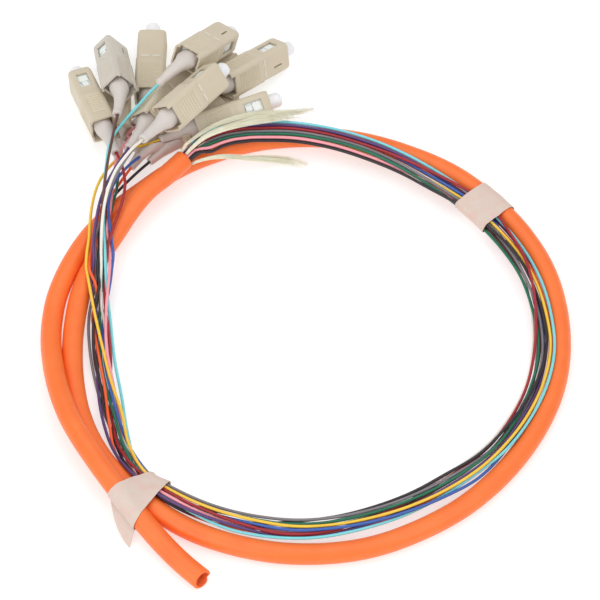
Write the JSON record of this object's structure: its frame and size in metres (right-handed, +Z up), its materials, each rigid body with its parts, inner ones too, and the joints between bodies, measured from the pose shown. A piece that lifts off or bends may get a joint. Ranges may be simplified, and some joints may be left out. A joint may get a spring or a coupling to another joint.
{
  "type": "coiled fibre optic patch cable",
  "caption": "Coiled orange fibre optic cable whose colour-coded fibres fan out to push-pull connectors with dust caps, held by wraps of paper tape.",
  "frame": {"origin": "on the floor, under the middle of the whole coil and heap of connectors", "axes": "+Z up from the floor the coil lies on, +Y from the cable's cut end towards the connectors, +X to the right of them as the picture shows it"},
  "size_m": [0.1564, 0.2014, 0.0288],
  "materials": {
    "jacket": "satin",
    "housing": "satin",
    "plug_frame": "satin",
    "boot": "matte",
    "cap": "translucent gloss",
    "paper": "matte paper",
    "aramid": "soft fibre",
    "coating_blue": "satin",
    "coating_orange": "satin",
    "coating_green": "satin",
    "coating_brown": "satin",
    "coating_slate": "satin",
    "coating_white": "satin",
    "coating_red": "satin",
    "coating_black": "satin",
    "coating_yellow": "satin",
    "coating_violet": "satin",
    "coating_rose": "satin",
    "coating_aqua": "satin"
  },
  "bodies": {
    "cable": {"jacket": "jacket", "tape_left": "paper", "tape_right": "paper", "aramid_yarn": "aramid", "hidden_connectors": "housing", "fibre_blue": "coating_blue", "fibre_orange": "coating_orange", "fibre_green": "coating_green", "fibre_brown": "coating_brown", "fibre_slate": "coating_slate", "fibre_white": "coating_white", "fibre_red": "coating_red", "fibre_black": "coating_black", "fibre_yellow": "coating_yellow", "fibre_violet": "coating_violet", "fibre_rose": "coating_rose", "fibre_aqua": "coating_aqua", "plug_frame_red": "plug_frame", "boot_red": "boot", "plug_frame_brown": "plug_frame", "boot_brown": "boot", "plug_frame_rose": "plug_frame", "boot_rose": "boot", "plug_frame_aqua": "plug_frame", "boot_aqua": "boot", "plug_frame_violet": "plug_frame", "boot_violet": "boot", "dust_cap_violet": "cap", "plug_frame_white": "plug_frame", "boot_white": "boot", "plug_frame_slate": "plug_frame", "boot_slate": "boot", "plug_frame_yellow": "plug_frame", "boot_yellow": "boot"},
    "red_housing": {"grip_red": "housing"},
    "red_cap": {"dust_cap_red": "cap"},
    "brown_housing": {"grip_brown": "housing"},
    "brown_cap": {"dust_cap_brown": "cap"},
    "rose_housing": {"grip_rose": "housing"},
    "rose_cap": {"dust_cap_rose": "cap"},
    "aqua_housing": {"grip_aqua": "housing"},
    "aqua_cap": {"dust_cap_aqua": "cap"},
    "violet_housing": {"grip_violet": "housing"},
    "white_housing": {"grip_white": "housing"},
    "white_cap": {"dust_cap_white": "cap"},
    "slate_housing": {"grip_slate": "housing"},
    "slate_cap": {"dust_cap_slate": "cap"},
    "yellow_housing": {"grip_yellow": "housing"},
    "yellow_cap": {"dust_cap_yellow": "cap"}
  },
  "joints": [
    {"name": "red_housing_slide", "type": "slide", "parent": "cable", "child": "red_housing", "axis": [0.3532, -0.9202, 0.1685], "range_m": [0, 0.002]},
    {"name": "red_cap_slide", "type": "slide", "parent": "cable", "child": "red_cap", "axis": [-0.3532, 0.9202, -0.1685], "range_m": [0, 0.007]},
    {"name": "brown_housing_slide", "type": "slide", "parent": "cable", "child": "brown_housing", "axis": [0.1632, -0.9254, 0.342], "range_m": [0, 0.002]},
    {"name": "brown_cap_slide", "type": "slide", "parent": "cable", "child": "brown_cap", "axis": [-0.1632, 0.9254, -0.342], "range_m": [0, 0.007]},
    {"name": "rose_housing_slide", "type": "slide", "parent": "cable", "child": "rose_housing", "axis": [-0.0175, -0.9998, 0], "range_m": [0, 0.002]},
    {"name": "rose_cap_slide", "type": "slide", "parent": "cable", "child": "rose_cap", "axis": [0.0175, 0.9998, 0], "range_m": [0, 0.007]},
    {"name": "aqua_housing_slide", "type": "slide", "parent": "cable", "child": "aqua_housing", "axis": [-0.4874, -0.7506, 0.4462], "range_m": [0, 0.002]},
    {"name": "aqua_cap_slide", "type": "slide", "parent": "cable", "child": "aqua_cap", "axis": [0.4874, 0.7506, -0.4462], "range_m": [0, 0.007]},
    {"name": "violet_housing_slide", "type": "slide", "parent": "cable", "child": "violet_housing", "axis": [-0.4523, -0.8876, 0.0872], "range_m": [0, 0.002]},
    {"name": "white_housing_slide", "type": "slide", "parent": "cable", "child": "white_housing", "axis": [-0.6028, -0.7856, 0.1392], "range_m": [0, 0.002]},
    {"name": "white_cap_slide", "type": "slide", "parent": "cable", "child": "white_cap", "axis": [0.6028, 0.7856, -0.1392], "range_m": [0, 0.007]},
    {"name": "slate_housing_slide", "type": "slide", "parent": "cable", "child": "slate_housing", "axis": [-0.7082, -0.672, 0.2164], "range_m": [0, 0.002]},
    {"name": "slate_cap_slide", "type": "slide", "parent": "cable", "child": "slate_cap", "axis": [0.7082, 0.672, -0.2164], "range_m": [0, 0.007]},
    {"name": "yellow_housing_slide", "type": "slide", "parent": "cable", "child": "yellow_housing", "axis": [-0.9134, -0.4067, 0.0175], "range_m": [0, 0.002]},
    {"name": "yellow_cap_slide", "type": "slide", "parent": "cable", "child": "yellow_cap", "axis": [0.9134, 0.4067, -0.0175], "range_m": [0, 0.007]}
  ]
}
